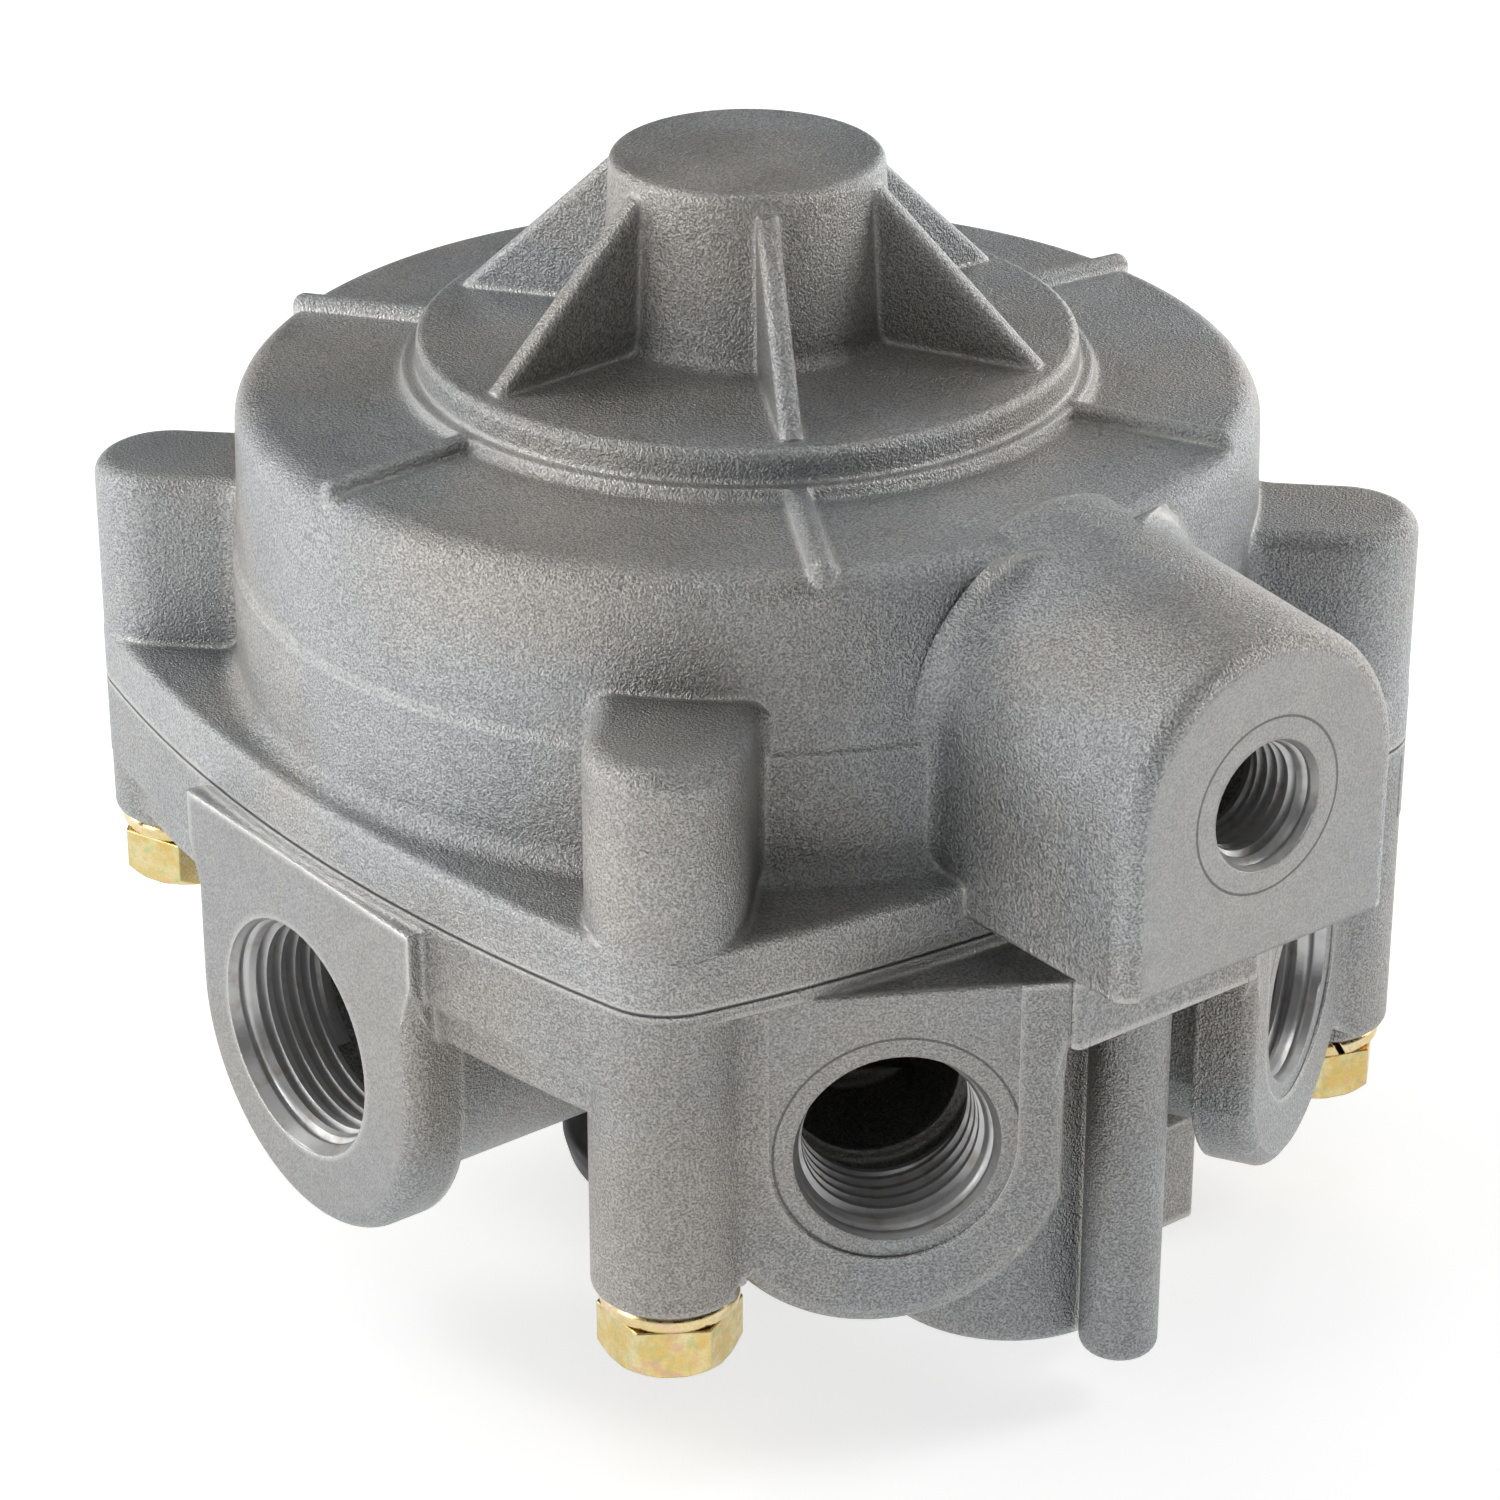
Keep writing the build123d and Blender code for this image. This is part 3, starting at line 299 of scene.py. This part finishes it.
def cast_metal(name, depth, faces):
    """Blasted cast aluminium, its colour times depth, with milled faces as port_faces lists them."""
    paint = Paint(name, CAST, 1.0, 0.45)
    fine = paint.noise(FINE_GRAIN, 2.0, 0.6)
    coarse = paint.noise(COARSE_GRAIN, 3.0, 0.6, seed=3.1)
    mottle = paint.noise(MOTTLE, 4.0, 0.6, seed=7.7)
    stain = paint.noise(STAINS, 3.0, 0.5, seed=1.9)
    scuff = paint.noise(SCUFFS, 4.0, 0.65, seed=2.4)
    waves = paint.noise(WAVES, 2.0, 0.5, seed=8.8)
    pits = paint.span(paint.noise(PITS, 2.0, 0.5, seed=5.2), 0.66, 0.74)
    machined, rings, marks, dull = milling(paint, faces)
    # Edge mask for burnished wear and a painted highlight, both put into the colour; left out on port faces
    # with a scribed ring
    edge = paint.times(paint.edges(EDGE_REACH), paint.math("SUBTRACT", 1.0, dull))

    tint = paint.blend(paint.span(stain, 0.36, 0.64), COOL_CAST, WARM_CAST)
    tone = paint.span(mottle, 0.3, 0.7, 0.93 * depth, 1.05 * depth)
    speck = paint.span(fine, 0.32, 0.68, 0.66, 1.32)
    colour = paint.blend(1.0, tint, paint.times(tone, speck), "MULTIPLY")
    colour = paint.blend(paint.times(pits, 0.3), colour, PITTED)
    turned = paint.blend(paint.span(scuff, 0.35, 0.7), MILLED, SCUFFED)
    colour = paint.blend(paint.times(machined, 0.85), colour, turned)
    colour = paint.blend(paint.times(marks, 0.75), colour, SCRIBED)
    # Painted highlight together with real burnished wear: edges, hollow ones as well as ridges, are lightened
    # towards the edge colour
    colour = paint.blend(paint.times(edge, 0.9), colour, BURNISHED_AND_HIGHLIT)
    from_joint = paint.math("ABSOLUTE", paint.math("SUBTRACT", paint.along(UP), PARTING_Z * MM))
    colour = paint.blend(paint.span(from_joint, SEAM_DARK * MM, SEAM_END * MM, 0.85, 0.0), colour, SEAM)

    roughness = paint.plus(paint.times(machined, -0.08), paint.span(mottle, 0.3, 0.7, 0.37, 0.46))
    roughness = paint.plus(paint.times(edge, -0.1), roughness)
    keep = paint.math("SUBTRACT", 1.0, paint.times(machined, 0.8))
    grain = paint.plus(paint.times(fine, 0.6), paint.times(coarse, 0.4))
    paint.bump([(waves, WAVE_DEPTH), (paint.times(grain, keep), GRAIN_DEPTH), (rings, LAY_DEPTH),
                (paint.times(marks, -1.0), SCRIBED_DEPTH)], bevel_mm=CAST_BEVEL)
    return paint.use(colour, roughness)


CUT, CUT_CLEAN, CUT_BROWN = (0.6, 0.6, 0.6), (0.62, 0.62, 0.62), (0.50, 0.46, 0.41)


def thread_metal():
    """Cut aluminium threads with faint brown tints."""
    paint = Paint("cut_thread", CUT, 0.7, 0.4)
    streak = paint.noise(2.4, 3.0, 0.6, seed=4.4)
    tint = paint.blend(paint.span(streak, 0.5, 0.75), CUT_CLEAN, CUT_BROWN)
    paint.bump([(paint.noise(0.3, 2.0, 0.6), 0.02)])
    return paint.use(tint, paint.span(streak, 0.3, 0.7, 0.34, 0.48))


def plating(name, gold, pale, green, pink, roughness):
    """Yellow zinc plating with its mottled interference colours."""
    paint = Paint(name, gold, 1.0, roughness)
    broad, small = paint.noise(3.2, 4.0, 0.65, seed=6.1), paint.noise(1.1, 3.0, 0.6, seed=9.3)
    blush = paint.noise(2.0, 3.0, 0.6, seed=11.0)
    colour = paint.blend(paint.span(broad, 0.35, 0.65), gold, pale)
    colour = paint.blend(paint.span(small, 0.52, 0.7, 0.0, 0.6), colour, green)
    colour = paint.blend(paint.span(blush, 0.56, 0.7, 0.0, 0.55), colour, pink)
    paint.bump([(paint.noise(0.4, 2.0, 0.6), 0.012)], bevel_mm=0.35)
    return paint.use(colour, paint.span(small, 0.3, 0.7, roughness - 0.06, roughness + 0.1))


RUBBER, RUBBER_DARK, RUBBER_BLOOM = (0.02, 0.02, 0.021), (0.012, 0.012, 0.013), (0.035, 0.034, 0.033)


def rubber():
    """Black rubber with a faint bloom."""
    paint = Paint("rubber", RUBBER, 0.0, 0.5)
    bloom = paint.noise(4, 4.0, 0.6, seed=2.2)
    colour = paint.blend(paint.span(bloom, 0.4, 0.7), RUBBER_DARK, RUBBER_BLOOM)
    paint.bump([(paint.noise(0.35, 3.0, 0.6), 0.02)], bevel_mm=0.3)
    return paint.use(colour, paint.span(bloom, 0.3, 0.7, 0.42, 0.6))


TURNED_PITCH = 0.3             # of the rings on a turned piece, in mm
GRIMED = 0.78                  # share of the colour that is left under grime


def turned_metal(name, colour, roughness):
    """Lathe-turned metal with fine rings about the valve axis."""
    paint = Paint(name, colour, 1.0, roughness)
    travel = paint.plus(paint.axis_distance(ORIGIN, UP), paint.along(UP))
    lay = paint.math("SINE", paint.times(travel, tau / (TURNED_PITCH * MM)))
    grime = paint.noise(6, 4.0, 0.6, seed=3.3)
    dark = tuple(c * GRIMED for c in colour)
    paint.bump([(lay, 0.003), (paint.noise(0.5, 2.0, 0.5), 0.006)], bevel_mm=0.25)
    return paint.use(paint.blend(paint.span(grime, 0.4, 0.7), colour, dark),
                     paint.span(grime, 0.3, 0.7, roughness, roughness + 0.12))


# Pieces
def cover_with(mesh, material):
    """Give a mesh one material."""
    mesh.materials.clear()
    mesh.materials.append(material)


def dress(material, *names):
    """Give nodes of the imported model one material."""
    for name in names:
        cover_with(nodes[name].data, material)


def mesh_piece(name, points, faces, material, body="housing"):
    """Smooth piece of its own that rides on a body."""
    mesh = bpy.data.meshes.new(name)
    mesh.from_pydata(points, [], faces)
    mesh.validate()
    mesh.polygons.foreach_set("use_smooth", [True] * len(mesh.polygons))
    cover_with(mesh, material)
    piece = add_object(name, mesh)
    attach(piece, body)
    return piece


# Cut threads: a helical skin just inside each plain bore, lengths in mm
PITCH_18, PITCH_14 = 25.4 / 18, 25.4 / 14
SEGMENTS = 128
THREAD_TURNS = 7
LAST_FADE = 0.5            # turns over which the ridge runs out
ROOT_GAP = 0.02            # from the plain wall to the root of the thread
RIDGE_HEIGHT = 0.58        # share of the pitch
TAPER = 1 / 32             # how much the radius falls per mm of depth
MOUTH_FLARE = 0.28         # start of the countersink outside the plain wall
COUNTERSINK = 0.42         # how much its radius falls per mm of depth
# Share of a pitch against height of the ridge, and the points where the surface has an edge
RIDGE = [(0.0, 0.0), (0.04, 0.0), (0.19, 0.5), (0.34, 1.0), (0.68, 1.0), (0.84, 0.5), (1.0, 0.0)]
RIDGE_EDGES = (0, 1, 3, 4, 6)


def cut_thread(name, port, pitch, material):
    """Helical V thread behind a countersink; depths are measured from the port face."""
    point, axis, face, wall_r = PORTS[port]
    mouth = point + axis * (face - point.dot(axis))
    side = axis.orthogonal().normalized()
    up = axis.cross(side)
    root, height = wall_r - ROOT_GAP, RIDGE_HEIGHT * pitch
    points, faces = [], []
    steps, count = THREAD_TURNS * SEGMENTS, len(RIDGE)
    for i in range(steps + 1):
        angle = tau * i / SEGMENTS
        spoke = side * cos(angle) + up * sin(angle)
        fade = min(1.0, (steps - i) / (LAST_FADE * SEGMENTS))
        for share, lift in RIDGE:
            depth = max(pitch * (i / SEGMENTS + share - 1), 0.0)
            radius = root - depth * TAPER - height * lift * fade
            radius = max(radius, wall_r + MOUTH_FLARE - COUNTERSINK * depth)
            points.append(mouth + spoke * radius * MM - axis * depth * MM)
    for i in range(steps):
        for a in range(i * count, i * count + count - 1):
            faces.append((a, a + 1, a + count + 1, a + count))
    piece = mesh_piece(name, points, faces, material)
    for edge in piece.data.edges:
        a, b = edge.vertices
        if abs(a - b) == count and a % count in RIDGE_EDGES:
            edge.use_edge_sharp = True


# Rounded feet: the solid's port plates are left sharp at the bottom, so the body's skin is trimmed
# there. Each foot: centre across and up from the port's axis, radius and rounding, in mm.
FEET = {"supply_port": (1.4, -0.3, 21.1, 2.5), "delivery_port": (-1.2, -1.5, 19.3, 1.6)}
FOOT_TURN = 50                         # degrees that the foot reaches to either side of straight down
FOOT_STEPS, ROUND_STEPS = 60, 16
FOOT_LIFT, FOOT_CLEAR = 0.01, 1.5      # the cutter starts just off the rounding and ends in the air
WELD_MM = 0.0005
CREASE = radians(30)                   # edges sharper than this stay creased where the skin is new


def foot_cutter(port):
    """Solid outside the rounded lower edge of a port's plate, swept along the foot."""
    across, up, foot_r, rounding = FEET[port.rsplit("_", 1)[0]]
    point, axis, face, _ = PORTS[port]
    side = Vector((-axis.y, axis.x, 0)) if axis.y < 0 else Vector((axis.y, -axis.x, 0))
    centre = point + axis * (face - point.dot(axis)) + side * across * MM + Vector((0, 0, up * MM))
    outer, inner = foot_r + FOOT_CLEAR, foot_r - rounding
    profile = [(outer, rounding), (outer, -FOOT_CLEAR), (inner, -FOOT_CLEAR)]
    for i in range(ROUND_STEPS + 1):
        turn = tau / 4 * i / ROUND_STEPS
        reach = rounding + FOOT_LIFT
        profile.append((inner + reach * sin(turn), rounding - reach * cos(turn)))
    points, faces, count = [], [], len(profile)
    for i in range(FOOT_STEPS + 1):
        angle = radians(-90 - FOOT_TURN + 2 * FOOT_TURN * i / FOOT_STEPS)
        spoke = side * cos(angle) + Vector((0, 0, sin(angle)))
        points += [centre + spoke * r * MM - axis * depth * MM for r, depth in profile]
    for i in range(FOOT_STEPS):
        for a in range(count):
            b = (a + 1) % count
            faces.append((i * count + a, i * count + b, (i + 1) * count + b, (i + 1) * count + a))
    faces += [tuple(range(count)), tuple(range(FOOT_STEPS * count, (FOOT_STEPS + 1) * count))]
    return points, faces


def closed_mesh(name, points, faces):
    """Mesh of a solid, its faces turned outwards."""
    mesh = bpy.data.meshes.new(name)
    mesh.from_pydata(points, [], faces)
    shape = bmesh.new()
    shape.from_mesh(mesh)
    bmesh.ops.recalc_face_normals(shape, faces=shape.faces)
    shape.to_mesh(mesh)
    shape.free()
    return mesh


def weld(mesh):
    """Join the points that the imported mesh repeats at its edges."""
    shape = bmesh.new()
    shape.from_mesh(mesh)
    bmesh.ops.remove_doubles(shape, verts=shape.verts, dist=WELD_MM * MM)
    shape.to_mesh(mesh)
    shape.free()


def body_skin(material):
    """The body with round feet on its port plates, and the solid's own normals elsewhere."""
    mesh = nodes["body"].data.copy()
    kept = mesh.attributes.new("solid_normal", "FLOAT_VECTOR", "CORNER")
    kept.data.foreach_set("vector", [c for corner in mesh.corner_normals for c in corner.vector])
    weld(mesh)
    skin = add_object("body_skin", mesh)
    tools = []
    for port in PORTS:
        if port.rsplit("_", 1)[0] in FEET:
            tool = add_object("foot_" + port, closed_mesh("foot_" + port, *foot_cutter(port)))
            cut = skin.modifiers.new(tool.name, "BOOLEAN")
            cut.operation = "DIFFERENCE"
            cut.solver = "EXACT"
            cut.object = tool
            tools.append(tool)
    trimmed = bpy.data.meshes.new_from_object(skin.evaluated_get(bpy.context.evaluated_depsgraph_get()))
    skin.modifiers.clear()
    skin.data = trimmed
    for tool in tools:
        bpy.data.objects.remove(tool)
    trimmed.set_sharp_from_angle(angle=CREASE)
    trimmed.normals_split_custom_set([v.vector for v in trimmed.attributes["solid_normal"].data])
    trimmed.attributes.remove(trimmed.attributes["solid_normal"])
    cover_with(trimmed, material)
    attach(skin, "housing")
    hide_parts("body")


def coil_spring(node, material):
    """A copy of a spring in its own material, standing where the imported one stood, which is hidden."""
    spring = add_object("coil_" + node, nodes[node].data.copy())
    cover_with(spring.data, material)
    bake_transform(spring)
    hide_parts(node)


# Floor and light
FLOOR_SIZE, FLOOR_GAP = 12, 0.05 * MM  # the floor lies just under the lowest piece
FLOOR_WHITE = (0.8, 0.8, 0.8)
FLOOR_GLOW = 0.62              # near the object; it rises to 1 over the distances below
FLOOR_FADE = (0.5, 1.6)
# Soft lamps in a ring: turn from the camera, elevation, diameter in metres and power
LAMPS = [
    (-105, 12, 0.6, 3.4), (-65, 12, 0.6, 4.8), (105, 12, 0.6, 4.0), (150, 12, 0.6, 2.5),
    (-112, 34, 0.4, 3.2), (107, 35, 0.4, 2.6), (-120, 48, 0.7, 1.5), (-60, 48, 0.7, 0.7),
    (0, 48, 0.6, 0.8), (120, 48, 0.7, 0.5), (180, 48, 0.7, 1.5), (0, 88, 0.7, 1.6)]
LAMP_REACH, LAMP_AIM = 1.3, Vector((0, 0, 0.05))
WORLD_STRENGTH = 0.03


def add_floor():
    """White floor that keeps the shadow, lifted to white for the camera and for reflections."""
    bpy.ops.mesh.primitive_plane_add(size=FLOOR_SIZE, location=(0, 0, cad_box[0].z - FLOOR_GAP))
    floor = bpy.context.object
    floor.name = "floor"
    paint = Paint("floor", FLOOR_WHITE, 0.0, 0.9)
    path = paint.node("ShaderNodeLightPath").outputs
    seen = paint.most(path["Is Camera Ray"], path["Is Glossy Ray"])
    seen = paint.most(seen, path["Is Transmission Ray"])
    paint.shader.inputs["Emission Color"].default_value = (1, 1, 1, 1)
    glow = paint.span(paint.axis_distance(ORIGIN, UP), *FLOOR_FADE, FLOOR_GLOW, 1.0)
    paint.feed(paint.shader.inputs["Emission Strength"], paint.times(seen, glow))
    floor.data.materials.append(paint.material)


def add_lamp(turn, elevation, size, power):
    data = bpy.data.lights.new(f"lamp_{turn}_{elevation}", "AREA")
    data.shape = "DISK"
    data.size = size
    data.energy = power
    lamp = add_object(data.name, data)
    away = outward(AZIMUTH + radians(turn), radians(elevation))
    lamp.location = LAMP_AIM + away * LAMP_REACH
    look_back(lamp, away)


def add_world(strength):
    world = bpy.data.worlds.new("studio")
    world.use_nodes = True
    background = world.node_tree.nodes["Background"]
    background.inputs["Color"].default_value = (1, 1, 1, 1)
    background.inputs["Strength"].default_value = strength
    bpy.context.scene.world = world


# The scene
add_camera()
add_floor()
add_world(WORLD_STRENGTH)
for lamp in LAMPS:
    add_lamp(*lamp)

dress(cast_metal("cast_cover", 1.0, port_faces("control_port")), "cover")
body_skin(cast_metal("cast_body", 0.85, port_faces("supply_port") + port_faces("delivery_port")))
zinc = plating("yellow_zinc", gold=(0.66, 0.48, 0.17), pale=(0.72, 0.62, 0.34), green=(0.40, 0.52, 0.24),
               pink=(0.66, 0.36, 0.30), roughness=0.26)
pale_zinc = plating("gold_zinc", gold=(0.72, 0.55, 0.26), pale=(0.78, 0.66, 0.40), green=(0.54, 0.52, 0.28),
                    pink=(0.72, 0.48, 0.34), roughness=0.24)
corners = ("front", "right", "back", "left")
dress(zinc, "flap_screw", *("screw_" + c for c in corners))
dress(pale_zinc, *("lock_washer_" + c for c in corners))
dress(rubber(), "sealing_ring", "piston_o_ring", "guide_outer_o_ring", "guide_inner_o_ring", "valve_disc",
      "exhaust_shield", "exhaust_flap")
aluminium = turned_metal("turned_aluminium", (0.62, 0.62, 0.63), 0.28)
dress(aluminium, "relay_piston", "valve_guide", "exhaust_spider")
dress(turned_metal("brass", (0.70, 0.52, 0.27), 0.24), "valve_tube")
steel = turned_metal("spring_steel", (0.42, 0.42, 0.43), 0.3)
dress(steel, "valve_collar", "retaining_ring", "flap_washer")
coil_spring("return_spring", steel)
coil_spring("valve_spring", steel)

cut = thread_metal()
cut_thread("thread_control", "control_port", PITCH_18, cut)
for port in PORTS:
    if port != "control_port":
        cut_thread("thread_" + port, port, PITCH_14, cut)
